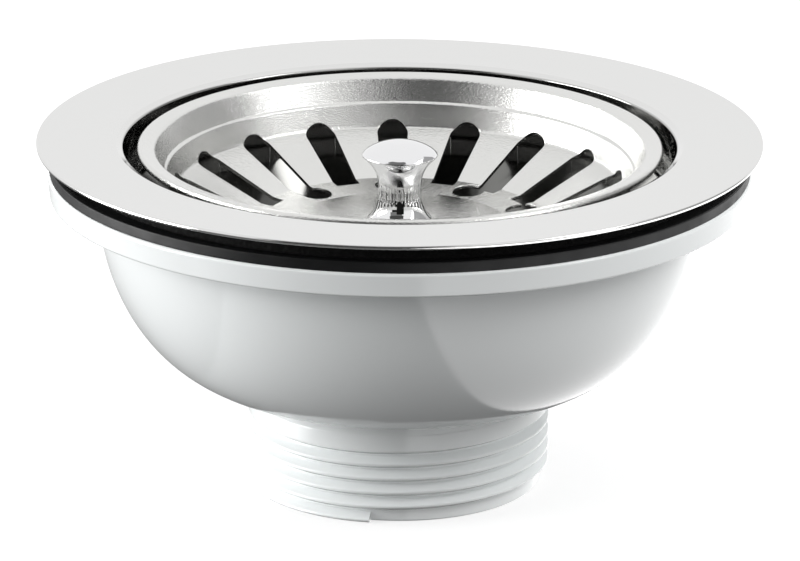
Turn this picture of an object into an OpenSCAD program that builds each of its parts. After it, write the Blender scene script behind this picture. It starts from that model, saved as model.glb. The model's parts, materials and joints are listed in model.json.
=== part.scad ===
// Basket strainer waste for a kitchen sink. Millimetres, +Z up.
// The origin is the centre of the spigot's end face, on which the waste stands.
// Every piece is turned about +Z, so most outlines are lists of [radius, height].

/* [Flange and cup] */
// Diameter of the steel flange that lies on the sink
flange_d = 114; // [106:1:124]
// Width of the flange, from its edge in to the cup's straight wall
flange_w = 13.6; // [12.4:0.2:15]
// Thickness of the pressed steel sheet of the flange and cup
sheet_t = 0.7; // [0.5:0.1:0.9]
// Depth from the flange's edge down to the cup's floor
cup_depth = 23.1; // [21.5:0.2:25.5]
// Height of the cup's straight upper wall
cup_wall_h = 9.6; // [8:0.2:11]
// How far the cup narrows from its straight wall to its floor
cup_taper = 10.4; // [9:0.2:12]
// How far the flange falls towards the cup, so that it drains
flange_fall = 0.65; // [0.4:0.05:0.8]
// Radius of the shoulder where the flange turns down into the cup
shoulder_r = 1; // [0.8:0.1:1.4]
// Number of drain holes in the cup's floor
drain_count = 12; // [8:1:12]
// Diameter of each drain hole
drain_d = 6.4; // [4:0.2:6.6]
// Diameter of the circle on which the drain holes lie
drain_ring_d = 34; // [33:0.5:36]

/* [Seals] */
// Clearance between the cup and the seals round it
seal_gap = 0.9; // [0.5:0.1:1.4]
// Thickness of the foam ring under the flange
foam_t = 3; // [2:0.2:4]
// Width of the foam ring
foam_w = 6.8; // [5:0.2:8]
// Thickness of the rubber gasket on the waste body
gasket_t = 1.2; // [1:0.1:2]
// Width of the gasket
gasket_w = 10; // [9.4:0.2:11]
// Height of the bead round the gasket's edge
gasket_bead_h = 0.5; // [0.3:0.1:0.8]
// Width of that bead
gasket_bead_w = 0.8; // [0.6:0.1:1]

/* [Waste body] */
// How far the ring at the top of the body stands out past the gasket
ring_edge = 0.3; // [0:0.1:1.4]
// Thickness of that ring
ring_t = 3.8; // [3:0.2:5]
// Clearance between the cup and the bowl round it
bowl_gap = 1.1; // [0.6:0.1:2]
// Height of the bowl, from the spigot to the ring
bowl_h = 30.5; // [28:0.5:34]
// Wall thickness of the bowl
wall_t = 2.4; // [1.8:0.1:2.6]
// Length of the outlet spigot
spigot_l = 16.9; // [14.9:0.2:22]
// Thread diameter of the spigot, 47.8 for a G 1 1/2 thread
thread_d = 47.8; // [47:0.1:49]
// How far the plain lead-in below the thread stands back from it
lead_step = 1.5; // [1.2:0.1:2]
// Length of the plain lead-in
lead_l = 2.2; // [1.2:0.2:4]
// Wall of the spigot, from its thread to its bore
spigot_wall_t = 4.3; // [3.6:0.1:5]
// Number of webs that carry the hub inside the bowl
web_count = 4; // [3:1:5]
// Thickness of each web
web_t = 2.2; // [1.6:0.2:3]

/* [Centre screw] */
// Diameter of the screw's head
head_d = 20; // [18:0.5:21.5]
// Thickness of the head
head_t = 1.4; // [1:0.1:1.8]
// Diameter of the barrel below the head
barrel_d = 14.8; // [14.2:0.2:15.4]
// Diameter of the screw's shank
shank_d = 6; // [5:0.5:7]
// Thickness of the sealing ring under the head
screw_seal_t = 1; // [0.8:0.1:1.4]
// Width of the screwdriver slot across the head
drive_slot_w = 2.2; // [1.6:0.1:2.6]
// Length of the brass insert's body
insert_l = 7; // [5:0.5:8]
// Wall of the brass insert
insert_wall_t = 1.8; // [1.4:0.1:2.4]

/* [Basket] */
// Gap between the basket's rim and the cup's wall
rim_gap = 2.1; // [1.4:0.1:2.6]
// How far the rim sits below the flange's edge
rim_drop = 1; // [0.6:0.1:1.4]
// Thickness of the basket's sheet
basket_t = 0.6; // [0.5:0.1:0.8]
// Width of the sloping rim
rim_w = 2.8; // [2.2:0.1:3.4]
// Height of the rim's turned-down edge
rim_lip_h = 1; // [0.8:0.1:1.6]
// Depth from the rim to the step in the wall
step_depth = 4.3; // [3.6:0.1:4.8]
// Depth from the rim to the crease at the foot of the wall
crease_depth = 7.9; // [7.4:0.1:8.6]
// Height of the basket's lowest ring above the cup's floor
floor_gap = 8.5; // [7.8:0.1:9.5]
// Width of the ring with the round holes, from the cone's foot inwards
floor_ring_w = 6.4; // [6:0.1:7]
// Rise of the floor from its lowest ring to the knob
floor_rise = 0.55; // [0.2:0.05:1]
// Number of slots
slot_count = 18; // [12:1:20]
// Width of a slot at its outer end
slot_w = 4.9; // [3.6:0.1:5.2]
// Width of a slot at its inner end
slot_w_inner = 3.8; // [2.6:0.1:4]
// How far each slot runs in past the foot of the cone
slot_reach = 2; // [1:0.1:2.4]
// Direction of the rear slot, turned to the left from straight back
slot_turn = 2; // [0:1:19]
// Number of round holes in the floor
hole_count = 10; // [6:1:12]
// Diameter of each round hole
hole_d = 5; // [3:0.2:5.2]
// How far the holes' centres lie inside the foot of the cone
hole_inset = 3.1; // [2.8:0.1:3.4]

/* [Knob] */
// Diameter of the knob's cap
knob_d = 11.9; // [10:0.1:14]
// Height of the knob
knob_h = 13.3; // [11:0.1:16]
// Diameter of the knob's waist
waist_d = 6.8; // [6.2:0.1:7.6]
// Diameter of the knob's base
base_d = 10.1; // [9:0.1:12]
// Diameter of the screw that holds the knob
knob_screw_d = 4; // [3:0.5:4]

/* [Plug and stem] */
// How far the rubber plug's lip lies inside the edge of the cup's floor
plug_inset = 7.5; // [6:0.5:8.5]
// Thickness of the plug under the basket's floor
plug_t = 2.6; // [2:0.1:3]
// Diameter of the steel plate that backs the plug
plate_d = 27; // [25:0.5:29]
// Thickness of that plate
plate_t = 0.8; // [0.5:0.1:1]
// How far the lowest ring of the basket's floor lies outside the plate
plate_margin = 4.05; // [3.5:0.05:4.5]
// Outside diameter of the stem
stem_d = 10; // [9.6:0.1:10.2]
// Length of the stem below its flange
stem_l = 12.6; // [11:0.2:14]
// Diameter of the stem's flange
stem_flange_d = 15; // [13:0.5:18]
// Thickness of that flange
stem_flange_t = 1.4; // [1:0.1:1.6]
// Width of the slits between the stem's fingers
slit_w = 1.2; // [0.8:0.1:1.6]

/* [Hidden] */
$fn = 96;

// Clearances: between pieces that move, round a screw, and round a seal
running_gap = 0.3;
screw_gap = 0.05;
hole_gap = 0.2;
// Clearance under what stops short of a floor
end_gap = 0.6;
cut_over = 1;

// Heights, from the spigot's end face up to the flange's edge
ring_bottom = spigot_l + bowl_h;
ring_top = ring_bottom + ring_t;
gasket_top = ring_top + gasket_t;
flange_top = gasket_top + foam_t + sheet_t;
cup_floor = flange_top - cup_depth;

// Radii, from the flange in to the cup's floor
flange_r = flange_d / 2;
cup_r = flange_r - flange_w;
cup_out_r = cup_r + sheet_t;
cup_floor_r = cup_r - cup_taper;

// Radii of what surrounds the cup
seal_in_r = cup_out_r + seal_gap;
foam_r = seal_in_r + foam_w;
gasket_r = seal_in_r + gasket_w;
ring_r = gasket_r + ring_edge;
bowl_in_r = cup_out_r + bowl_gap;
bowl_r = bowl_in_r + wall_t;

// Radii of the spigot
thread_r = thread_d / 2;
lead_r = thread_r - lead_step;
bore_r = thread_r - spigot_wall_t;

// The basket's sheet: how far each stretch of its wall leans, falls or rises
rim_fall = 0.5;
upper_run = 1.5;
step_w = 0.7;
step_fall = 0.3;
wall_run = 1.4;
foot_rise = 0.55;
seat_edge = 1.45;

// The basket's sheet: the radii of its bends
rim_bend = 0.65;
rim_foot_bend = 0.9;
step_bend = 0.4;
crease_bend = 0.8;
foot_bend = 1.2;
floor_bend = 1;

// Heights of the basket, from its rim to the seat of the knob
rim_z = flange_top - rim_drop;
step_z = rim_z - step_depth;
crease_z = rim_z - crease_depth;
floor_z = cup_floor + floor_gap;
foot_z = floor_z + foot_rise;
knob_z = floor_z + floor_rise;

// Radii of the basket, from its rim to the seat of the knob
rim_r = cup_r - rim_gap;
rim_foot_r = rim_r - rim_w;
step_r = rim_foot_r - upper_run;
crease_r = step_r - wall_run;
plate_r = plate_d / 2;
low_r = plate_r + plate_margin;
foot_r = low_r + floor_ring_w;
seat_r = base_d / 2 + seat_edge;

// The stack that hangs under the basket's floor
plug_top = knob_z - basket_t;
plug_bottom = plug_top - plug_t;
plate_bottom = plug_bottom - plate_t;
stem_shoulder = plate_bottom - stem_flange_t;
stem_bottom = stem_shoulder - stem_l;
stem_r = stem_d / 2;
bead_r = stem_r + running_gap;
finger_wall = 1.3;
stem_head_t = 2.1;
hollow_r = stem_r - finger_wall;
hollow_top = stem_shoulder - stem_head_t;
washer_t = 0.8;
knob_head_h = 2.1;
knob_head_r = hollow_r - hole_gap;
knob_screw_r = knob_screw_d / 2;
knob_hole_r = knob_screw_r + hole_gap;
knob_bore_depth = 8;

// The centre screw, from its head down to its barrel and shank
screw_floor_t = 1.5;
head_r = head_d / 2;
head_bottom = cup_floor + screw_seal_t;
head_top = head_bottom + head_t;
socket_r = bead_r + running_gap;
socket_floor = stem_bottom - end_gap;
barrel_r = barrel_d / 2;
barrel_bottom = socket_floor - screw_floor_t;
shank_r = shank_d / 2;

// The brass insert, and the screw's tip just below it
insert_top_wall = 2;
insert_flange_w = 1.5;
insert_flange_t = 1;
counterbore_floor = barrel_bottom - end_gap;
insert_top = counterbore_floor - insert_top_wall;
insert_bottom = insert_top - insert_l;
insert_r = shank_r + insert_wall_t;
insert_flange_r = insert_r + insert_flange_w;
screw_tip = insert_bottom - insert_flange_t - end_gap;

// The hub inside the waste body, and its webs
hub_wall_t = 2.8;
hub_foot_wall = 1.2;
hub_foot_drop = 0.8;
web_rise = 1;
web_drop = 5;
hub_top = cup_floor - sheet_t - running_gap;
hub_bore_r = barrel_r + running_gap;
hub_r = hub_bore_r + hub_wall_t;
hub_foot_r = insert_flange_r + hub_foot_wall;
hub_foot_top = counterbore_floor - hub_foot_drop;
web_bottom = insert_bottom + web_rise;
web_top = hub_top - web_drop;

// A circular arc as a list of points
function arc(centre, radius, from, to, steps) =
    [for (i = [0:steps]) let (a = from + (to - from) * i / steps)
        centre + radius * [cos(a), sin(a)]];

// A cubic curve through its first and last point
function curve(a, b, c, d, steps) =
    [for (i = [0:steps]) let (t = i / steps, u = 1 - t)
        u * u * u * a + 3 * u * u * t * b + 3 * u * t * t * c + t * t * t * d];

function unit(v) = v / norm(v);
function left_of(v) = [-v[1], v[0]];
function cross2(a, b) = a[0] * b[1] - a[1] * b[0];

// One corner [radius, height, fillet] rounded between its neighbours
function rounded(before, corner, after, steps) =
    let (
        p = [corner[0], corner[1]],
        u = unit([before[0], before[1]] - p),
        v = unit([after[0], after[1]] - p),
        half = acos(u * v) / 2,
        reach = corner[2] / tan(half),
        centre = p + unit(u + v) * corner[2] / sin(half),
        s = p + u * reach - centre,
        e = p + v * reach - centre,
        from = atan2(s[1], s[0]),
        turn = atan2(cross2(s, e), s * e)
    )
    arc(centre, corner[2], from, from + turn, steps);

// A list of corners as a line whose corners are rounded
function fillet_line(corners, steps = 4) =
    [for (i = [0:len(corners) - 1])
        each corners[i][2] > 0
            ? rounded(corners[i - 1], corners[i], corners[i + 1], steps)
            : [[corners[i][0], corners[i][1]]]];

// The same line moved to its left by a distance, with mitred corners
function shifted(line, distance) =
    let (last = len(line) - 1)
    [for (i = [0:last])
        let (
            a = left_of(unit(line[max(i, 1)] - line[max(i, 1) - 1])),
            b = left_of(unit(line[min(i, last - 1) + 1] - line[min(i, last - 1)])),
            m = a + b
        )
        line[i] + m * 2 * distance / (m * m)];

function reversed(line) = [for (i = [len(line) - 1:-1:0]) line[i]];

// The section of a pressed sheet: its upper face, then its lower face
function sheet(line, thickness) = concat(line, reversed(shifted(line, thickness)));

// Height of the flange's underside at a radius
function flange_under(radius) =
    flange_top - sheet_t - flange_fall * (flange_r - radius) / (flange_r - cup_r);

module turned(outline) {
    rotate_extrude() polygon(outline);
}

module ring(outer, inner, bottom, top) {
    turned([[inner, bottom], [outer, bottom], [outer, top], [inner, top]]);
}

module around(count, turn = 0) {
    for (i = [0:count - 1]) rotate([0, 0, turn + i * 360 / count]) children();
}

// Flange and cup, pressed from one sheet, with the edge eased
module strainer_cup() {
    edge_r = sheet_t / 2;
    wall_bend = 3;
    floor_corner_bend = 4;
    cup_line = fillet_line([
        [flange_r, flange_top, 0],
        [cup_r, flange_top - flange_fall, shoulder_r],
        [cup_r, flange_top - cup_wall_h, wall_bend],
        [cup_floor_r, cup_floor, floor_corner_bend],
        [hub_bore_r, cup_floor, 0]
    ], 5);
    edge = arc([flange_r - edge_r, flange_top - edge_r], edge_r, 0, 75, 4);
    upper = [for (i = [1:len(cup_line) - 1]) cup_line[i]];
    lower = reversed(shifted(cup_line, sheet_t));
    color("gainsboro") difference() {
        turned(concat(edge, upper, lower));
        around(drain_count)
            translate([drain_ring_d / 2, 0, cup_floor - sheet_t - cut_over])
                cylinder(d = drain_d, h = sheet_t + 2 * cut_over);
    }
}

// Foam ring, cut to the slope of the flange above it
module flange_seal() {
    color("black") turned([
        [seal_in_r, gasket_top],
        [foam_r, gasket_top],
        [foam_r, flange_under(foam_r) - screw_gap],
        [seal_in_r, flange_under(seal_in_r) - screw_gap]
    ]);
}

// Flat rubber gasket with a raised bead round its edge
module body_gasket() {
    bead_in_r = gasket_r - gasket_bead_w;
    color("dimgray") turned([
        [seal_in_r, ring_top],
        [gasket_r, ring_top],
        [gasket_r, gasket_top + gasket_bead_h],
        [bead_in_r, gasket_top + gasket_bead_h],
        [bead_in_r - gasket_bead_h, gasket_top],
        [seal_in_r, gasket_top]
    ]);
}

// The bowl's faces: nearly level at the spigot, turning up to plumb at the ring
bowl_turn_w = 9.5;
bowl_turn_in_w = 8.8;
bowl_rise = 0.2;
bowl_in_rise = 0.3;
bowl_side_drop = 1;

function bowl_outside() = curve(
    [thread_r, spigot_l], [bowl_r - bowl_turn_w, spigot_l + bowl_rise],
    [bowl_r, spigot_l + bowl_h / 2 - bowl_side_drop], [bowl_r, ring_bottom], 14);

function bowl_inside() = curve(
    [bore_r, spigot_l + wall_t], [bowl_in_r - bowl_turn_in_w, spigot_l + wall_t + bowl_in_rise],
    [bowl_in_r, spigot_l + bowl_h / 2], [bowl_in_r, ring_bottom], 14);

// The moulded body: spigot, bowl and ring in one wall, and the hub on its webs
module waste_body() {
    edge_draft = 0.3;
    edge_r = 0.5;
    outside = concat(
        [[bore_r, 0], [lead_r - edge_r, 0], [lead_r, edge_r], [lead_r, lead_l],
         [thread_r - edge_r, lead_l], [thread_r, lead_l + edge_r]],
        bowl_outside(),
        [[ring_r - edge_draft, ring_bottom]],
        arc([ring_r - edge_r, ring_top - edge_r], edge_r, 0, 90, 4),
        [[seal_in_r, ring_top]]
    );
    core = concat([[0, web_bottom], [bore_r + wall_t / 2, web_bottom]],
        [for (p = bowl_inside()) p + [wall_t / 2, 0]], [[0, ring_bottom]]);
    color("white") difference() {
        union() {
            turned(concat(outside, reversed(bowl_inside())));
            intersection() {
                turned(core);
                around(web_count, 45)
                    translate([hub_bore_r + running_gap, -web_t / 2, web_bottom])
                        cube([bowl_r, web_t, web_top - web_bottom]);
            }
            translate([0, 0, hub_foot_top]) cylinder(r = hub_r, h = hub_top - hub_foot_top);
            translate([0, 0, insert_bottom])
                cylinder(r = hub_foot_r, h = hub_foot_top - insert_bottom + screw_gap);
        }
        translate([0, 0, counterbore_floor])
            cylinder(r = hub_bore_r, h = hub_top - counterbore_floor + cut_over);
        translate([0, 0, insert_bottom - cut_over])
            cylinder(r = shank_r + hole_gap, h = counterbore_floor - insert_bottom + 2 * cut_over);
        translate([0, 0, insert_bottom - cut_over])
            cylinder(r = insert_r + screw_gap, h = insert_l + cut_over);
    }
}

// Brass insert, drawn up against the hub by its flange
module thread_insert() {
    groove_r = insert_r - insert_wall_t / 3;
    groove_w = 0.8;
    groove_z = insert_bottom + insert_l / 2;
    color("goldenrod") turned([
        [shank_r + screw_gap, insert_bottom - insert_flange_t],
        [insert_flange_r, insert_bottom - insert_flange_t],
        [insert_flange_r, insert_bottom],
        [insert_r, insert_bottom],
        [insert_r, groove_z - groove_w],
        [groove_r, groove_z - groove_w],
        [groove_r, groove_z + groove_w],
        [insert_r, groove_z + groove_w],
        [insert_r, insert_top],
        [shank_r + screw_gap, insert_top]
    ]);
}

// Hollow screw: a slotted head, a socket for the stem and a threaded shank
module centre_screw() {
    groove_depth = 0.4;
    groove_r = socket_r + groove_depth;
    groove_top = head_top - 2;
    groove_bottom = groove_top - 1.6;
    head_edge = 0.3;
    drive_slot_floor = head_bottom + 0.4;
    tip = 0.75;
    color("silver") difference() {
        turned([
            [0, screw_tip],
            [shank_r - tip, screw_tip],
            [shank_r, screw_tip + tip],
            [shank_r, barrel_bottom],
            [barrel_r, barrel_bottom],
            [barrel_r, head_bottom],
            [head_r, head_bottom],
            [head_r, head_top - head_edge],
            [head_r - head_edge, head_top],
            [socket_r, head_top],
            [socket_r, groove_top],
            [groove_r, groove_top - groove_depth],
            [groove_r, groove_bottom + groove_depth],
            [socket_r, groove_bottom],
            [socket_r, socket_floor],
            [0, socket_floor]
        ]);
        translate([-head_r - cut_over, -drive_slot_w / 2, drive_slot_floor])
            cube([2 * (head_r + cut_over), drive_slot_w, head_t + cut_over]);
    }
}

module screw_seal() {
    seal_edge = 0.4;
    color("black") ring(head_r - seal_edge, hub_bore_r, cup_floor, head_bottom);
}

// The basket's upper face, from the turned-down edge in to the centre
basket_line = fillet_line([
    [rim_r, rim_z - rim_lip_h, 0],
    [rim_r, rim_z, rim_bend],
    [rim_foot_r, rim_z - rim_fall, rim_foot_bend],
    [step_r, step_z + step_fall, step_bend],
    [step_r - step_w, step_z, step_bend],
    [crease_r, crease_z, crease_bend],
    [foot_r, foot_z, foot_bend],
    [low_r, floor_z, floor_bend],
    [seat_r, knob_z, floor_bend],
    [knob_hole_r, knob_z, 0]
], 3);

// Slots cut down the cone, each with a round end that climbs the wall
module slots() {
    slot_in_r = foot_r - slot_reach;
    tilt = 45;
    end_r = slot_w / 2;
    side_r = end_r - 0.03;
    climb = 1.15;
    lean = 0.2;
    end_at = [crease_r + lean, crease_z + climb] - end_r * [cos(tilt), sin(tilt)];
    cut_floor = floor_z - basket_t - cut_over;
    deep = 11 * basket_t;
    around(slot_count, 90 + slot_turn) {
        translate([0, 0, cut_floor]) linear_extrude(height = crease_z - cut_floor)
            polygon([
                [slot_in_r, -slot_w_inner / 2], [end_at[0], -side_r],
                [end_at[0], side_r], [slot_in_r, slot_w_inner / 2]
            ]);
        translate([end_at[0], 0, end_at[1]]) rotate([0, -tilt, 0])
            translate([0, 0, -deep / 2]) cylinder(r = end_r, h = deep);
    }
}

// Strainer basket, pressed from one sheet and punched
module basket() {
    hole_ring_r = foot_r - hole_inset;
    hole_turn = slot_turn + 2;
    cut_floor = floor_z - basket_t - cut_over;
    color("lightgray") difference() {
        turned(sheet(basket_line, basket_t));
        slots();
        around(hole_count, 90 + hole_turn)
            translate([hole_ring_r, 0, cut_floor])
                cylinder(d = hole_d, h = foot_z + cut_over - cut_floor);
    }
}

// Turned knob: an ogee cap, a narrow waist and a flared base
module knob() {
    cap_r = knob_d / 2;
    waist_r = waist_d / 2;
    base_r = base_d / 2;
    knob_top = knob_z + knob_h;
    cap_z = knob_top - 2.2;
    waist_z = knob_z + 5;
    waist_half = 0.7;
    lip_z = knob_z + 0.7;
    flare = 0.9;
    crown_w = 3.3;
    color("whitesmoke") difference() {
        turned(concat(
            [[0, knob_z], [base_r, knob_z]],
            curve([base_r, lip_z], [base_r - flare, lip_z + flare],
                [waist_r, waist_z - 2.2], [waist_r, waist_z - waist_half], 6),
            curve([waist_r, waist_z + waist_half], [waist_r, waist_z + 2.8],
                [cap_r - 1.9, cap_z - 1.9], [cap_r - 0.3, cap_z - 0.4], 7),
            curve([cap_r, cap_z], [cap_r - 0.5, cap_z + flare],
                [cap_r - crown_w, knob_top], [0, knob_top], 8)
        ));
        translate([0, 0, knob_z - cut_over])
            cylinder(r = knob_screw_r + screw_gap, h = knob_bore_depth + cut_over);
    }
}

// Rubber plug: a disc under the basket and a skirt that closes on the cup's floor
module plug_seal() {
    lip_r = cup_floor_r - plug_inset;
    lip_z = cup_floor + running_gap;
    lip_h = 1;
    lip_w = 1.3;
    skirt_bevel = 0.6;
    skirt_t = 1.6;
    seat_step = 0.4;
    ring_underside = floor_z - basket_t;
    disc_r = low_r - seat_step;
    color("black") turned([
        [knob_hole_r, plug_bottom],
        [disc_r - skirt_t, plug_bottom],
        [lip_r - lip_w - skirt_bevel, lip_z + skirt_bevel],
        [lip_r - lip_w, lip_z],
        [lip_r, lip_z],
        [lip_r, lip_z + lip_h],
        [disc_r + 2, ring_underside - 2],
        [disc_r, ring_underside - 2 * screw_gap],
        [seat_r, plug_top - 2 * screw_gap],
        [seat_r - seat_step, plug_top],
        [knob_hole_r, plug_top]
    ]);
}

module seal_plate() {
    color("silver") ring(plate_r, knob_hole_r, plate_bottom, plug_bottom);
}

// Moulded stem: a flange, a hollow shank and four sprung fingers
module catch_stem() {
    slit_top = hollow_top - 3.4;
    tip_bevel = 0.4;
    bead_h = 0.8;
    bead_z = stem_bottom + end_gap;
    color("ivory") difference() {
        turned([
            [hollow_r, stem_bottom],
            [stem_r - tip_bevel, stem_bottom],
            [bead_r, bead_z],
            [bead_r, bead_z + bead_h],
            [stem_r, bead_z + bead_h + end_gap],
            [stem_r, stem_shoulder],
            [stem_flange_d / 2, stem_shoulder],
            [stem_flange_d / 2, plate_bottom],
            [knob_hole_r, plate_bottom],
            [knob_hole_r, hollow_top],
            [hollow_r, hollow_top]
        ]);
        for (a = [0, 90]) rotate([0, 0, a])
            translate([-stem_d, -slit_w / 2, stem_bottom - cut_over])
                cube([2 * stem_d, slit_w, slit_top - stem_bottom + cut_over]);
    }
}

// Split spring washer under the knob screw's head
module spring_washer() {
    split_w = 0.8;
    color("silver") difference() {
        ring(knob_head_r, knob_hole_r, hollow_top - washer_t, hollow_top);
        translate([0, -split_w / 2, hollow_top - washer_t - cut_over])
            cube([2 * knob_head_r, split_w, washer_t + 2 * cut_over]);
    }
}

// Screw that runs up through the stem, plug and basket into the knob
module knob_screw() {
    seat = hollow_top - washer_t;
    bottom = seat - knob_head_h;
    tip_z = knob_z + knob_bore_depth - end_gap;
    edge = 0.6;
    socket_across = 2.5;
    socket_depth = 1.2;
    color("silver") difference() {
        turned([
            [0, bottom],
            [knob_head_r - edge, bottom],
            [knob_head_r, bottom + edge],
            [knob_head_r, seat],
            [knob_screw_r, seat],
            [knob_screw_r, tip_z - edge],
            [knob_screw_r - edge, tip_z],
            [0, tip_z]
        ]);
        translate([0, 0, bottom - cut_over])
            cylinder(d = socket_across / cos(30), h = cut_over + socket_depth, $fn = 6);
    }
}

strainer_cup();
flange_seal();
body_gasket();
waste_body();
thread_insert();
centre_screw();
screw_seal();
basket();
knob();
plug_seal();
seal_plate();
catch_stem();
spring_washer();
knob_screw();
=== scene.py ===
import json
import math

import bmesh
import bpy
from mathutils import Matrix, Vector, noise


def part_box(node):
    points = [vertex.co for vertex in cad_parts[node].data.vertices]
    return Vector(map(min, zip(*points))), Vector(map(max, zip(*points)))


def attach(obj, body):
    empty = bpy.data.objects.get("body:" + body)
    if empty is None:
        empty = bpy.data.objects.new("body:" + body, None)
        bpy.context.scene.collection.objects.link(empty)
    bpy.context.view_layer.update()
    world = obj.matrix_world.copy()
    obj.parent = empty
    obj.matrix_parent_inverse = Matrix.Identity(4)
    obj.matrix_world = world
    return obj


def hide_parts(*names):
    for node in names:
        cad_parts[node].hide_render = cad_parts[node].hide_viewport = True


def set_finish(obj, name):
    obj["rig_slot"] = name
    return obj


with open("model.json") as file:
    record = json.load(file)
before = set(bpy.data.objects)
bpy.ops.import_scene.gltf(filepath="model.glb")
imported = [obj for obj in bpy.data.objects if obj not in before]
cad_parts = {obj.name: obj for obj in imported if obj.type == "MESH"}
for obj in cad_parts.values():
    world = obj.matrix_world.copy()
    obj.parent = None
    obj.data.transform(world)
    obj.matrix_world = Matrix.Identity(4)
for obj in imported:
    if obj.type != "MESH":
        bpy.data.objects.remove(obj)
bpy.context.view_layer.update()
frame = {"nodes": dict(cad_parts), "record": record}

# Outlines are lists of (radius, height) in millimetres, and meshes are made in metres
MM = 0.001
NODES = frame["nodes"]


# The frame's own sizes

def lowest(node):
    """The lowest height of a CAD node, in millimetres."""
    return round(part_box(node)[0].z / MM, 2)


def highest(node):
    return round(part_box(node)[1].z / MM, 2)


def reach(node):
    """The outer radius of a CAD node, in millimetres."""
    return round(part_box(node)[1].x / MM, 1)


flange_r = reach("strainer_cup")
flange_top = round(highest("strainer_cup"), 1)
foam_r = reach("flange_seal")
gasket_r = reach("body_gasket")
gasket_bottom = lowest("body_gasket")
gasket_edge_top = highest("body_gasket")
foam_bottom = lowest("flange_seal")
ring_r = reach("waste_body")
ring_top = highest("waste_body")
cup_underside = lowest("strainer_cup")
rim_r = reach("basket")
knob_bottom = lowest("knob")
knob_top = highest("knob")
cap_r = round(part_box("knob")[1].x / MM, 2)
head_bottom = highest("screw_seal")
hub_top = cup_underside - 0.3

# Sheet, walls and clearances of the real part
cup_sheet_t = 0.7
basket_sheet_t = 0.6
flange_w = 13.6
flange_fall = 0.65
cup_r = 57 - flange_w
cup_floor = cup_underside + cup_sheet_t
cup_floor_r = 33
rim_top = flange_top - 1
floor_top = knob_bottom - 0.55
ring_bottom = ring_top - 3.8
spigot_top = 16.9
thread_r = 23.9
thread_root_r = 22.4
thread_pitch = 2.309
bore_r = 19.6
bowl_r = 47.6
bowl_in_r = 45.2
seal_in_r = 45


# Outlines

def arc(centre, radius, start, stop, steps):
    """Points on an arc, from one angle to another in degrees."""
    turns = [math.radians(start + (stop - start) * i / steps) for i in range(steps + 1)]
    return [(centre[0] + radius * math.cos(a), centre[1] + radius * math.sin(a)) for a in turns]


def curve(a, b, c, d, steps):
    """A cubic curve from a to d, pulled towards b and c."""
    points = [Vector(p) for p in (a, b, c, d)]
    line = []
    for i in range(steps + 1):
        t = i / steps
        u = 1 - t
        p = u ** 3 * points[0] + 3 * u * u * t * points[1] + 3 * u * t * t * points[2] + t ** 3 * points[3]
        line.append((p.x, p.y))
    return line


def rounded(corners, steps=6):
    """A line through corners (radius, height, fillet), with each fillet drawn as an arc."""
    line = []
    for i, (r, z, fillet) in enumerate(corners):
        if not fillet:
            line.append((r, z))
            continue
        here = Vector((r, z))
        back = (Vector(corners[i - 1][:2]) - here).normalized()
        ahead = (Vector(corners[i + 1][:2]) - here).normalized()
        half = back.angle(ahead) / 2
        centre = here + (back + ahead).normalized() * fillet / math.sin(half)
        start = here + back * fillet / math.tan(half) - centre
        turn = -start.angle_signed(here + ahead * fillet / math.tan(half) - centre)
        first = math.atan2(start.y, start.x)
        line += arc(centre, fillet, math.degrees(first), math.degrees(first + turn), steps)
    return line


def shifted(line, distance):
    """The same line, moved to its left by a distance."""
    points = [Vector(p) for p in line]
    steps = [(b - a).normalized() for a, b in zip(points, points[1:])]
    lefts = [Vector((-s.y, s.x)) for s in steps]
    moved = []
    for i, p in enumerate(points):
        mitre = lefts[max(i - 1, 0)] + lefts[min(i, len(lefts) - 1)]
        p = p + mitre * 2 * distance / mitre.length_squared
        moved.append((p.x, p.y))
    return moved


def sheet(line, thickness):
    """The section of a pressed sheet: its upper face, then its lower face."""
    return line + shifted(line, thickness)[::-1]


# Meshes

def piece(name, bm, body, slot, replaces=(), sharp=35):
    """A finished piece: smooth but for its sharp edges, riding on its body."""
    bmesh.ops.remove_doubles(bm, verts=bm.verts, dist=0.002 * MM)
    mesh = bpy.data.meshes.new(name)
    bm.to_mesh(mesh)
    bm.free()
    mesh.shade_smooth()
    mesh.set_sharp_from_angle(angle=math.radians(sharp))
    obj = bpy.data.objects.new(name, mesh)
    bpy.context.scene.collection.objects.link(obj)
    even = obj.modifiers.new("even shading", "WEIGHTED_NORMAL")
    even.keep_sharp = True
    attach(obj, body)
    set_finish(obj, slot)
    if replaces:
        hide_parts(*replaces)
    return obj


def turned(outline, steps=240, closed=True):
    """An outline spun about +Z. A closed one gives a ring; an open one starts and ends on the axis."""
    bm = bmesh.new()
    verts = [bm.verts.new((r * MM, 0, z * MM)) for r, z in outline]
    ends = verts[1:] + verts[:1] if closed else verts[1:]
    edges = [bm.edges.new(pair) for pair in zip(verts, ends)]
    bmesh.ops.spin(bm, geom=verts + edges, cent=(0, 0, 0), axis=(0, 0, 1), angle=math.tau,
                   steps=steps, use_merge=True)
    bmesh.ops.remove_doubles(bm, verts=bm.verts, dist=0.002 * MM)
    bmesh.ops.recalc_face_normals(bm, faces=bm.faces)
    return bm


def combine(bm, other, operation):
    """One closed mesh cut from another, or joined to it."""
    solids = []
    for part in (bm, other):
        mesh = bpy.data.meshes.new(operation)
        part.to_mesh(mesh)
        part.free()
        solids.append(bpy.data.objects.new(operation, mesh))
        bpy.context.scene.collection.objects.link(solids[-1])
    joined = solids[0].modifiers.new(operation, "BOOLEAN")
    joined.object = solids[1]
    joined.operation = operation
    joined.solver = "EXACT"
    result = bmesh.new()
    result.from_object(solids[0], bpy.context.evaluated_depsgraph_get())
    for solid in solids:
        mesh = solid.data
        bpy.data.objects.remove(solid)
        bpy.data.meshes.remove(mesh)
    return result


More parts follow.
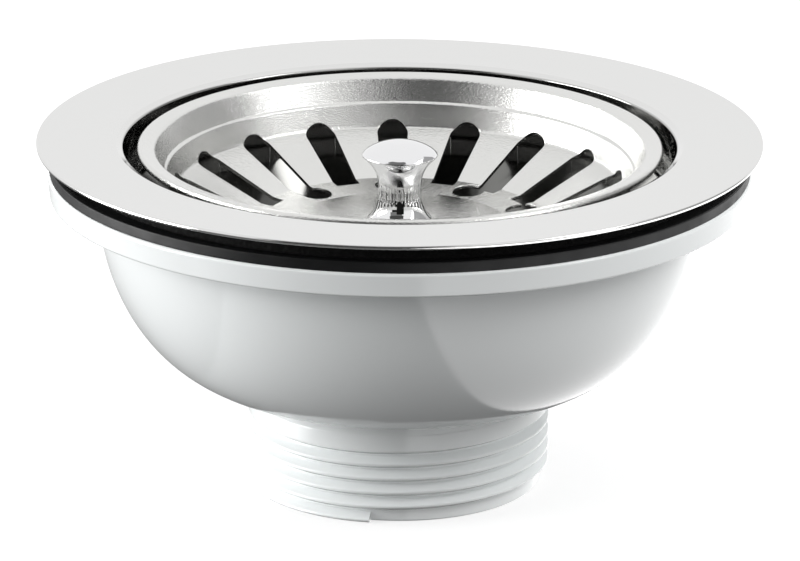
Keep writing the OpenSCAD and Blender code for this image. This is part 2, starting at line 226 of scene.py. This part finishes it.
def gather(bm, shells):
    """Adds closed shells to a mesh."""
    for shell in shells:
        mesh = bpy.data.meshes.new("shell")
        shell.to_mesh(mesh)
        shell.free()
        bm.from_mesh(mesh)
        bpy.data.meshes.remove(mesh)
    return bm


def ease_cuts(bm, is_cut, width):
    """Rounds the sharp edges that a cut has left."""
    bmesh.ops.remove_doubles(bm, verts=bm.verts, dist=0.03 * MM)
    bmesh.ops.dissolve_degenerate(bm, edges=bm.edges, dist=0.01 * MM)
    edges = [e for e in bm.edges if len(e.link_faces) == 2 and e.calc_face_angle() > math.radians(50)
             and is_cut(e)]
    bmesh.ops.bevel(bm, geom=edges, offset=width * MM, offset_type="OFFSET", segments=2, profile=0.5,
                    affect="EDGES", material=-1, clamp_overlap=False)
    return bm


def around(count, turn=0):
    return [Matrix.Rotation(math.radians(turn + i * 360 / count), 4, "Z") for i in range(count)]


# The strainer cup: flange, cup and floor in one pressed sheet

def strainer_cup():
    edge_r = cup_sheet_t / 2
    face = rounded([
        (57, flange_top, 0),
        (cup_r + 1.1, flange_top - flange_fall * 0.92, 0.15),
        (cup_r, flange_top - flange_fall - 0.55, 0.35),
        (cup_r, flange_top - 9.6, 3),
        (cup_floor_r, cup_floor, 4),
        (7.7, cup_floor, 0),
    ], 10)
    edge = arc((57 - edge_r, flange_top - edge_r), edge_r, -80, 80, 10)
    lower = shifted(face, cup_sheet_t)[::-1][:-1]
    bm = turned(edge + face[1:] + lower, 288)
    holes = bmesh.new()
    for place in around(12):
        bmesh.ops.create_cone(holes, cap_ends=True, segments=40, radius1=3.2 * MM, radius2=3.2 * MM,
                              depth=4 * MM, matrix=place @ Matrix.Translation((17 * MM, 0, cup_floor * MM)))
    bm = combine(bm, holes, "DIFFERENCE")
    return piece("strainer_cup_pressing", bm, "waste", "polished_steel", ["strainer_cup"])


# The basket: stepped rim and wall, slotted cone and punched floor in one pressed sheet

step_r = 37
crease_r = 35.6
crease_z = rim_top - 7.9
foot_r = 23.95
floor_ring_r = 17.55
slot_count = 18
slot_w = 4.9
slot_in_w = 3.8
slot_turn = 2
hole_count = 10


def slot_cutters():
    """Tapered slots with a round outer end that climbs the wall, and round holes inside them."""
    cutters = bmesh.new()
    tilt = math.radians(45)
    end_r = slot_w / 2
    slot_in_r = foot_r - 2
    end = (crease_r + 0.2 - end_r * math.cos(tilt), crease_z + 1.15 - end_r * math.sin(tilt))
    upright = Matrix.Translation((end[0] * MM, 0, end[1] * MM)) @ Matrix.Rotation(-tilt, 4, "Y")
    for place in around(slot_count, 90 + slot_turn):
        bmesh.ops.create_cone(cutters, cap_ends=True, segments=48, radius1=end_r * MM, radius2=end_r * MM,
                              depth=6.6 * MM, matrix=place @ upright)
    channels = bmesh.new()
    for place in around(slot_count, 90 + slot_turn):
        corners = [(slot_in_r, -slot_in_w / 2), (end[0], -end_r), (end[0], end_r), (slot_in_r, slot_in_w / 2)]
        verts = [channels.verts.new(place @ Vector((x * MM, y * MM, (floor_top - 1.6) * MM))) for x, y in corners]
        face = channels.faces.new(verts)
        lifted = bmesh.ops.extrude_face_region(channels, geom=[face])["geom"]
        bmesh.ops.translate(channels, vec=(0, 0, (crease_z - floor_top + 1.6) * MM),
                            verts=[v for v in lifted if isinstance(v, bmesh.types.BMVert)])
    for place in around(hole_count, 90 + slot_turn + 2):
        at = Matrix.Translation(((foot_r - 3.1) * MM, 0, floor_top * MM))
        bmesh.ops.create_cone(cutters, cap_ends=True, segments=40, radius1=2.5 * MM, radius2=2.5 * MM,
                              depth=4 * MM, matrix=place @ at)
    bmesh.ops.recalc_face_normals(channels, faces=channels.faces)
    return cutters, channels


def basket():
    face = rounded([
        (rim_r, rim_top - 1, 0),
        (rim_r, rim_top, 0.65),
        (rim_r - 2.8, rim_top - 0.5, 0.9),
        (step_r, rim_top - 4, 0.4),
        (step_r - 0.5, rim_top - 4.3, 0.4),
        (crease_r - 0.15, crease_z, 0.9),
        (foot_r, floor_top + 0.55, 1.2),
        (floor_ring_r, floor_top, 1),
        (6.5, knob_bottom, 1),
        (2.2, knob_bottom, 0),
    ], 6)
    bm = turned(sheet(face, basket_sheet_t), 180)
    ends, channels = slot_cutters()
    bm = combine(bm, channels, "DIFFERENCE")
    bm = combine(bm, ends, "DIFFERENCE")
    span = (20 * MM, 36.2 * MM)

    def is_cut(edge):
        radii = [v.co.xy.length for v in edge.verts]
        return span[0] * 0.88 < min(radii) and max(radii) < span[1]

    bm = ease_cuts(bm, is_cut, 0.1)
    return piece("basket_pressing", bm, "basket", "basket_steel", ["basket"])


# The knob: cap, knurled waist and flared base, turned in one

def knob():
    waist_r = 3.4
    waist_z = knob_bottom + 5
    band = (waist_z - 0.7, waist_z + 0.7)
    base = curve((5.05, knob_bottom + 0.7), (4.15, knob_bottom + 1.6), (waist_r, waist_z - 2.2),
                 (waist_r, band[0]), 14)
    middle = [(waist_r, band[0] + (band[1] - band[0]) * i / 8) for i in range(1, 8)]
    flare = curve((waist_r, band[1]), (waist_r, waist_z + 2.8), (cap_r - 1.9, knob_top - 4.1),
                  (cap_r - 0.3, knob_top - 2.6), 16)
    edge = arc((cap_r - 0.22, knob_top - 2.25), 0.22, -60, 60, 4)
    cap = curve((cap_r - 0.12, knob_top - 2.05), (cap_r - 0.6, knob_top - 1.3), (cap_r - 3.3, knob_top),
                (0, knob_top), 16)
    foot = [(2.05, knob_bottom), (4.9, knob_bottom), (5.05, knob_bottom + 0.15)]
    bm = turned([(0, knob_bottom + 8), (2.05, knob_bottom + 8)] + foot + base + middle + flare + edge + cap,
                320, closed=False)
    for v in bm.verts:
        height = v.co.z / MM
        if band[0] - 0.1 < height < band[1] + 0.1 and v.co.xy.length > 3 * MM:
            turn = math.atan2(v.co.y, v.co.x)
            depth = 0.09 * (0.5 + 0.5 * math.cos(40 * turn))
            v.co.xy *= 1 - depth / waist_r
    return piece("knob_turning", bm, "basket", "chrome_plate", ["knob"], sharp=50)


# The seals

def flange_seal():
    under = lambda r: flange_top - cup_sheet_t - flange_fall * (57 - r) / flange_w - 0.05
    rows = 8
    side = [(foam_r, foam_bottom + (under(foam_r) - foam_bottom) * i / rows) for i in range(rows + 1)]
    bm = turned(side + [(seal_in_r, under(seal_in_r)), (seal_in_r, foam_bottom)], 720)
    for v in bm.verts:
        if v.co.xy.length > (foam_r - 0.1) * MM:
            rough = noise.fractal(v.co * 900, 1.0, 2.0, 3)
            v.co.xy *= 1 - (0.06 + 0.05 * rough) / foam_r
    return piece("foam_ring", bm, "waste", "foam_rubber", ["flange_seal"])


def body_gasket():
    bead_r = gasket_r - 0.8
    top = gasket_edge_top - 0.5
    bm = turned(rounded([
        (gasket_r, gasket_bottom + 0.4, 0),
        (gasket_r, gasket_edge_top, 0.2),
        (bead_r, gasket_edge_top, 0.2),
        (bead_r - 0.5, top, 0.2),
        (seal_in_r, top, 0.2),
        (seal_in_r, gasket_bottom, 0.1),
        (gasket_r, gasket_bottom, 0.1),
    ] + [(gasket_r, gasket_bottom + 0.39, 0)], 4), 240)
    return piece("gasket_ring", bm, "waste", "seal_rubber", ["body_gasket"])


# The body: spigot, bowl, ring, hub and webs in one moulding

collar_bottom = 13.2
crest_w = 0.4
flank_w = (thread_r - thread_root_r) * math.tan(math.radians(27.5))
first_crest_z = 2.9
parting = -11
hub_r = 10.5
hub_bore_r = 7.7
hub_foot_r = 7.5
hub_foot_top = 20.55
counterbore_floor = 21.35
insert_r = 4.8
insert_bottom = lowest("thread_insert") + 1
web_t = 2.2
web_bottom = insert_bottom + 1
web_top = hub_top - 5


def thread_ridge(run_out=0):
    """The section of a 55 degree ridge about its middle; a run-out fills the groove above it."""
    root_r = thread_root_r - 0.4
    half = crest_w / 2 + flank_w
    top = [(thread_r, crest_w / 2, 0.3), (thread_root_r, half, 0), (root_r, half, 0)]
    if run_out:
        top = [(thread_r, run_out - 1.2, 1), (thread_r - 0.3, run_out, 0), (root_r, run_out, 0)]
    return rounded([(root_r, -half, 0), (thread_root_r, -half, 0), (thread_r, -crest_w / 2, 0.3)] + top, 4)


def thread_turns(section, first, last):
    """A section swept up the thread between two turns, counted in degrees from the front."""
    bm = bmesh.new()
    face = bm.faces.new([bm.verts.new((r * MM, 0, (first_crest_z + z) * MM)) for r, z in section])
    climb = thread_pitch * MM / 360
    bm.transform(Matrix.Translation((0, 0, climb * first)) @ Matrix.Rotation(math.radians(first - 90), 4, "Z"))
    steps = round((last - first) / 2.5)
    bmesh.ops.spin(bm, geom=bm.verts[:] + bm.edges[:] + [face], cent=(0, 0, 0), axis=(0, 0, 1),
                   dvec=(0, 0, climb * (last - first) / steps), angle=math.radians(last - first), steps=steps)
    bmesh.ops.recalc_face_normals(bm, faces=bm.faces)
    return bm


def thread():
    """The moulded thread: it starts on the left half of the mould, half a turn below the right one."""
    ridge_start = parting + 180 - 360
    ridge_end = 3 * 360 + 180
    low = thread_turns(thread_ridge(), ridge_start - 360, parting - 360)
    cut = bmesh.ops.bisect_plane(low, geom=low.verts[:] + low.edges[:] + low.faces[:], dist=0.001 * MM,
                                 plane_co=(0, 0, 0), plane_no=(0, 0, 1), clear_inner=True)
    rim = [e for e in cut["geom_cut"] if isinstance(e, bmesh.types.BMEdge)]
    bmesh.ops.edgeloop_fill(low, edges=rim)
    bmesh.ops.recalc_face_normals(low, faces=low.faces)
    main = thread_turns(thread_ridge(), ridge_start, ridge_end)
    top = thread_turns(thread_ridge(run_out=3.6), ridge_end, ridge_end + 360)
    return low, main, top


def hub():
    """The hub, with its counterbore, its foot and the seat of the brass insert."""
    return turned(rounded([
        (hub_bore_r, (hub_top + counterbore_floor) / 2, 0),
        (hub_bore_r, counterbore_floor, 0.3),
        (insert_r, counterbore_floor, 0),
        (insert_r, insert_bottom, 0),
        (hub_foot_r, insert_bottom, 0.4),
        (hub_foot_r, hub_foot_top, 0.6),
        (hub_r, hub_foot_top, 0.6),
        (hub_r, hub_top, 0.4),
        (hub_bore_r, hub_top, 0.4),
        (hub_bore_r, (hub_top + counterbore_floor) / 2 + 0.1, 0),
    ], 4), 144)


def webs(inside):
    """Four webs from the hub to the bowl's wall, their ends set into it."""
    bm = bmesh.new()
    wall = [(r + 1.2, z) for r, z in inside if web_bottom < z < web_top]
    outline = [(bore_r + 1.2, web_bottom), (bore_r + 1.2, wall[0][1])] + wall
    outline += [(outline[-1][0], web_top), (hub_bore_r + 0.6, web_top), (hub_bore_r + 0.6, hub_foot_top + 0.8)]
    outline += [(hub_foot_r - 1, hub_foot_top + 0.8), (hub_foot_r - 1, web_bottom)]
    for place in around(4, 45):
        verts = [bm.verts.new(place @ Vector((r * MM, -web_t / 2 * MM, z * MM))) for r, z in outline]
        lifted = bmesh.ops.extrude_face_region(bm, geom=[bm.faces.new(verts)])["geom"]
        bmesh.ops.translate(bm, vec=place @ Vector((0, web_t * MM, 0)),
                            verts=[v for v in lifted if isinstance(v, bmesh.types.BMVert)])
    bmesh.ops.recalc_face_normals(bm, faces=bm.faces)
    return bm


def waste_body():
    outside = curve((thread_r, spigot_top), (bowl_r - 9.5, spigot_top + 0.2), (bowl_r, 31.15),
                    (bowl_r, ring_bottom), 40)
    inside = curve((bore_r, spigot_top + 2.4), (bowl_in_r - 8.8, spigot_top + 2.7), (bowl_in_r, 32.15),
                   (bowl_in_r, ring_bottom), 24)
    spigot = rounded([
        (bore_r, 1, 0),
        (bore_r, 0, 0.3),
        (thread_root_r, 0, 0.35),
        (thread_root_r, collar_bottom, 0),
        (thread_r - 0.05, collar_bottom + 0.4, 0),
    ], 4)
    ring = rounded([
        (bowl_r, ring_bottom, 0),
        (ring_r - 0.3, ring_bottom, 0.4),
        (ring_r, ring_top, 0.5),
        (seal_in_r + 0.2, ring_top, 0),
    ], 6)
    bm = turned(spigot + outside[:-1] + ring + inside[::-1], 288)
    gather(bm, (webs(inside), hub()) + thread())
    return piece("body_moulding", bm, "waste", "white_plastic", ["waste_body"])


# Materials

def linear(code):
    """An sRGB hex colour as linear values."""
    channels = [int(code[i:i + 2], 16) / 255 for i in (1, 3, 5)]
    return [c / 12.92 if c <= 0.04045 else ((c + 0.055) / 1.055) ** 2.4 for c in channels] + [1]


def add(tree, kind, links=(), **settings):
    """A node with its settings, and its links as (input, other node, output)."""
    node = tree.nodes.new(kind)
    for key, value in settings.items():
        if hasattr(node, key):
            setattr(node, key, value)
        else:
            node.inputs[key.replace("_", " ")].default_value = value
    for name, other, output in links:
        tree.links.new(other.outputs[output], node.inputs[name])
    return node


def material(name, colour, roughness, metallic=0.0, ior=1.5):
    """A named material with its shader, ready for its pattern."""
    made = bpy.data.materials.new(name)
    made.use_nodes = True
    shader = made.node_tree.nodes["Principled BSDF"]
    shader.inputs["Base Color"].default_value = linear(colour)
    shader.inputs["Roughness"].default_value = roughness
    shader.inputs["Metallic"].default_value = metallic
    shader.inputs["IOR"].default_value = ior
    return made, made.node_tree, shader


def grain(tree, size, stretch=(1, 1, 1), detail=2.0):
    """Noise on Object coordinates whose lumps are a size in millimetres."""
    place = add(tree, "ShaderNodeTexCoord")
    scaled = add(tree, "ShaderNodeMapping", [("Vector", place, "Object")], Scale=stretch)
    return add(tree, "ShaderNodeTexNoise", [("Vector", scaled, "Vector")], Scale=1 / (size * MM), Detail=detail)


def streaks(tree, width, radius, length, detail=3.0):
    """Noise drawn out along a turned form: lines a width apart at a radius, in millimetres."""
    place = add(tree, "ShaderNodeTexCoord")
    flat = add(tree, "ShaderNodeVectorMath", [("Vector", place, "Object")], operation="MULTIPLY")
    flat.inputs[1].default_value = (1, 1, 0)
    unit = add(tree, "ShaderNodeVectorMath", [("Vector", flat, "Vector")], operation="NORMALIZE")
    rise = add(tree, "ShaderNodeVectorMath", [("Vector", place, "Object")], operation="MULTIPLY")
    rise.inputs[1].default_value = (0, 0, radius / width / length * 1000)
    spread = add(tree, "ShaderNodeVectorMath", [("Vector", unit, "Vector")], operation="SCALE",
                 Scale=radius / width)
    joined = add(tree, "ShaderNodeVectorMath", operation="ADD")
    tree.links.new(spread.outputs["Vector"], joined.inputs[0])
    tree.links.new(rise.outputs["Vector"], joined.inputs[1])
    return add(tree, "ShaderNodeTexNoise", [("Vector", joined, "Vector")], Scale=1.0, Detail=detail)


def vary(tree, shader, noise_node, name, low, high, output="Fac"):
    """Sends noise to a socket of the shader, between a low and a high value."""
    spread = add(tree, "ShaderNodeMapRange", [("Value", noise_node, output)], From_Min=0.3, From_Max=0.7,
                 To_Min=low, To_Max=high)
    tree.links.new(spread.outputs["Result"], shader.inputs[name])


def emboss(tree, shader, noise_node, depth, strength=1.0, under=None):
    """Raises and lowers the surface by the noise, to a depth in millimetres."""
    bump = add(tree, "ShaderNodeBump", [("Height", noise_node, "Fac")], Strength=strength,
               Distance=depth * MM)
    if under:
        tree.links.new(under.outputs["Normal"], bump.inputs["Normal"])
    tree.links.new(bump.outputs["Normal"], shader.inputs["Normal"])
    return bump


def polished_steel():
    """Stainless steel pressed and mirror polished: an even, bright reflection with faint haze on the flange;
    inside the cup the colour is darker, painted shade for the dark gap round the basket.
    """
    made, tree, shader = material("polished stainless steel", "#E2E2E1", 0.1, 1.0)
    vary(tree, shader, grain(tree, 9), "Roughness", 0.08, 0.13)
    emboss(tree, shader, grain(tree, 14, detail=1.0), 0.02)
    # Painted shade: inside the cup's radius the colour drops from #E2E2E1 to #7C7C7A, so the recess round the
    # basket looks dark.
    place = add(tree, "ShaderNodeTexCoord")
    flat = add(tree, "ShaderNodeVectorMath", [("Vector", place, "Object")], operation="MULTIPLY")
    flat.inputs[1].default_value = (1, 1, 0)
    radius = add(tree, "ShaderNodeVectorMath", [("Vector", flat, "Vector")], operation="LENGTH")
    outside = add(tree, "ShaderNodeMapRange", [("Value", radius, "Value")], From_Min=(cup_r - 0.1) * MM,
                  From_Max=(cup_r + 0.3) * MM)
    cup_colour_with_painted_shade = add(tree, "ShaderNodeMix", [("Factor", outside, "Result")], data_type="RGBA")
    for name, socket in (("A", 6), ("B", 7)):
        cup_colour_with_painted_shade.inputs[socket].default_value = linear({"A": "#7C7C7A", "B": "#E2E2E1"}[name])
    tree.links.new(cup_colour_with_painted_shade.outputs[2], shader.inputs["Base Color"])
    return made


def drawn_steel():
    """Thin stainless steel drawn over a punch: fine lines run up its walls and tear its reflections."""
    made, tree, shader = material("drawn stainless steel", "#E0E0DE", 0.14, 1.0)
    lines = streaks(tree, 0.45, 37, 9)
    vary(tree, shader, lines, "Roughness", 0.07, 0.18)
    fine = emboss(tree, shader, lines, 0.06)
    emboss(tree, shader, grain(tree, 5, detail=1.0), 0.03, 0.6, under=fine)
    return made


def chrome():
    """Chrome plate on turned brass: a dark-edged mirror with hardly any haze."""
    made, tree, shader = material("bright chrome plate", "#EDEDEE", 0.04, 1.0)
    vary(tree, shader, grain(tree, 2), "Roughness", 0.03, 0.06)
    return made


def turned_steel():
    """Stainless steel from the lathe: satin, with fine rings."""
    made, tree, shader = material("turned stainless steel", "#C9C8C5", 0.28, 1.0)
    vary(tree, shader, grain(tree, 1.5, (1, 1, 6)), "Roughness", 0.22, 0.36)
    emboss(tree, shader, grain(tree, 0.5, (0.2, 0.2, 4)), 0.006)
    return made


def brass():
    """Turned brass: warm and satin, a little dulled."""
    made, tree, shader = material("turned brass", "#C8A860", 0.3, 1.0)
    vary(tree, shader, grain(tree, 1.2), "Roughness", 0.25, 0.42)
    emboss(tree, shader, grain(tree, 0.5, (0.2, 0.2, 4)), 0.006)
    return made


def foam():
    """Closed-cell foam rubber with a cut edge: black and dry, pitted by its cells."""
    made, tree, shader = material("closed-cell foam rubber", "#0B0B0B", 0.85)
    cells = grain(tree, 0.7, detail=4.0)
    vary(tree, shader, cells, "Roughness", 0.7, 0.95)
    emboss(tree, shader, cells, 0.25)
    shader.inputs["Specular IOR Level"].default_value = 0.3
    return made


def rubber():
    """Moulded nitrile rubber: dark grey with a satin skin."""
    made, tree, shader = material("moulded nitrile rubber", "#0A0B0C", 0.5, ior=1.52)
    vary(tree, shader, grain(tree, 3), "Roughness", 0.44, 0.56)
    shader.inputs["Specular IOR Level"].default_value = 0.3
    emboss(tree, shader, grain(tree, 0.4), 0.006)
    return made


def polypropylene():
    """Moulded polypropylene: white, with the mould's soft gloss."""
    made, tree, shader = material("moulded white polypropylene", "#EBEEEE", 0.1, ior=1.49)
    vary(tree, shader, grain(tree, 18), "Roughness", 0.08, 0.13)
    emboss(tree, shader, grain(tree, 16, detail=1.0), 0.02)
    return made


def acetal():
    """Moulded acetal: creamy white and waxy."""
    made, tree, shader = material("moulded acetal", "#DDDAD0", 0.38, ior=1.48)
    vary(tree, shader, grain(tree, 4), "Roughness", 0.32, 0.45)
    emboss(tree, shader, grain(tree, 3), 0.01)
    return made


def dress(pieces):
    """Each shown piece gets the material of its slot."""
    makers = {
        "polished_steel": polished_steel, "basket_steel": drawn_steel, "plain_steel": turned_steel,
        "chrome_plate": chrome, "brass": brass, "foam_rubber": foam, "seal_rubber": rubber,
        "white_plastic": polypropylene, "stem_plastic": acetal,
    }
    finishes = {slot: make() for slot, make in makers.items()}
    for obj in pieces:
        obj.data.materials.clear()
        obj.data.materials.append(finishes[obj["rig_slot"]])
    slots = {part["node"]: part["material_slot"] for part in frame["record"]["subparts"]}
    for name, obj in NODES.items():
        for holder in obj.material_slots:
            holder.material = finishes[slots[name]]


# The studio

aim = Vector((0, 0, 0.0323))
camera_rise = 17.986
camera_away = 0.926
camera_roll = 0.264


def camera():
    """The photograph's viewing angle: far off, 18 degrees above the horizon."""
    data = bpy.data.cameras.new("camera")
    data.lens = 263.5
    data.sensor_width = 36
    data.clip_end = 20
    data.shift_x = 0.00095
    obj = bpy.data.objects.new("camera", data)
    rise = math.radians(camera_rise)
    place = aim + Vector((0, -math.cos(rise), math.sin(rise))) * camera_away
    tilt = Matrix.Rotation(math.radians(90) - rise, 4, "X")
    obj.matrix_world = Matrix.Translation(place) @ tilt @ Matrix.Rotation(math.radians(camera_roll), 4, "Z")
    bpy.context.scene.collection.objects.link(obj)
    bpy.context.scene.camera = obj


def towards(azimuth, elevation, distance):
    """A point seen from the object. Azimuth 0 is the camera's side and 90 its right."""
    a, e = math.radians(azimuth), math.radians(elevation)
    return aim + Vector((math.sin(a) * math.cos(e), -math.cos(a) * math.cos(e), math.sin(e))) * distance


def stand(name, bm, shade, glow):
    """A stage piece that glows by itself."""
    mesh = bpy.data.meshes.new(name)
    bm.to_mesh(mesh)
    bm.free()
    obj = bpy.data.objects.new(name, mesh)
    bpy.context.scene.collection.objects.link(obj)
    made, tree, shader = material(name, shade, 0.9)
    shader.inputs["Specular IOR Level"].default_value = 0
    shader.inputs["Emission Color"].default_value = (1, 1, 1, 1)
    shader.inputs["Emission Strength"].default_value = glow
    mesh.materials.append(made)
    return obj


def card(name, azimuths, elevations, glow, distance=1.2):
    """A board bent round the object, which nothing but gloss sees."""
    bm = bmesh.new()
    bmesh.ops.create_grid(bm, x_segments=24, y_segments=12, size=0.5)
    for v in bm.verts:
        azimuth = azimuths[0] + (azimuths[1] - azimuths[0]) * (v.co.x + 0.5)
        elevation = elevations[0] + (elevations[1] - elevations[0]) * (v.co.y + 0.5)
        v.co = towards(azimuth, elevation, distance)
    return hide_but_gloss(stand(name, bm, "#000000", glow))


def hide_but_gloss(obj):
    obj.visible_camera = False
    obj.visible_diffuse = False
    obj.visible_shadow = False
    return obj


def softbox(name, azimuth, elevation, distance, width, height, power):
    light = bpy.data.lights.new(name, "AREA")
    light.shape = "RECTANGLE"
    light.size = width
    light.size_y = height
    light.energy = power
    obj = bpy.data.objects.new(name, light)
    place = towards(azimuth, elevation, distance)
    turn = (aim - place).to_track_quat("-Z", "Y").to_matrix().to_4x4()
    obj.matrix_world = Matrix.Translation(place) @ turn
    obj.visible_camera = False
    bpy.context.scene.collection.objects.link(obj)
    return obj


def sky():
    """Soft light: white above the horizon, which stands higher on the camera's side, and grey below it."""
    world = bpy.data.worlds.new("studio")
    world.use_nodes = True
    tree = world.node_tree
    place = add(tree, "ShaderNodeTexCoord")
    slant = add(tree, "ShaderNodeVectorMath", [("Vector", place, "Generated")], operation="DOT_PRODUCT")
    slant.inputs[1].default_value = (0, 0.3, 1)
    height = add(tree, "ShaderNodeMapRange", [("Value", slant, "Value")], From_Min=-0.2, From_Max=0.15,
                 To_Min=0.17, To_Max=0.98)
    tree.links.new(height.outputs["Result"], tree.nodes["Background"].inputs["Strength"])
    tree.nodes["Background"].inputs["Color"].default_value = (1, 1, 1, 1)
    bpy.context.scene.world = world


def studio():
    bpy.context.scene.view_settings.view_transform = "Standard"
    sky()
    ground = bmesh.new()
    bmesh.ops.create_grid(ground, x_segments=1, y_segments=1, size=4)
    floor = stand("floor", ground, "#B4B4B4", 0.6)
    floor.visible_diffuse = False
    floor.visible_glossy = False
    softbox("left softbox", -90, 3, 1.4, 1.2, 1.2, 36)
    softbox("right softbox", 80, 38, 1.4, 0.8, 0.8, 9)
    card("camera card", (-38, 10), (-8, 24), 0.012)
    card("low shade card", (-46, 14), (24, 37), 0.2)
    card("high shade card", (-50, 20), (37, 50), 0.07)
    card("ceiling card", (-56, 32), (50, 75), 0.18)
    card("right card", (72, 134), (4, 48), 0.4)
    # Painted reflection: a black sheet, seen only in gloss, stands inside the basket in front of the knob so the
    # knob's waist reflects dark shade.
    knob_shade_sheet = bmesh.new()
    bmesh.ops.create_grid(knob_shade_sheet, x_segments=1, y_segments=1, size=0.5)
    bmesh.ops.scale(knob_shade_sheet, vec=(0.01, 0.011, 1), verts=knob_shade_sheet.verts)
    bmesh.ops.rotate(knob_shade_sheet, matrix=Matrix.Rotation(math.radians(90), 3, "X"), verts=knob_shade_sheet.verts)
    bmesh.ops.translate(knob_shade_sheet, vec=(0.001, -0.017, 0.0478), verts=knob_shade_sheet.verts)
    hide_but_gloss(stand("knob reflection shade", knob_shade_sheet, "#000000", 0.01))
    under = bmesh.new()
    bmesh.ops.create_grid(under, x_segments=1, y_segments=1, size=2)
    bmesh.ops.translate(under, vec=(2.1, 0, -0.3), verts=under.verts)
    hide_but_gloss(stand("table card", under, "#000000", 2.0))


made = [strainer_cup(), basket(), knob(), flange_seal(), body_gasket(), waste_body()]
dress(made)
camera()
studio()
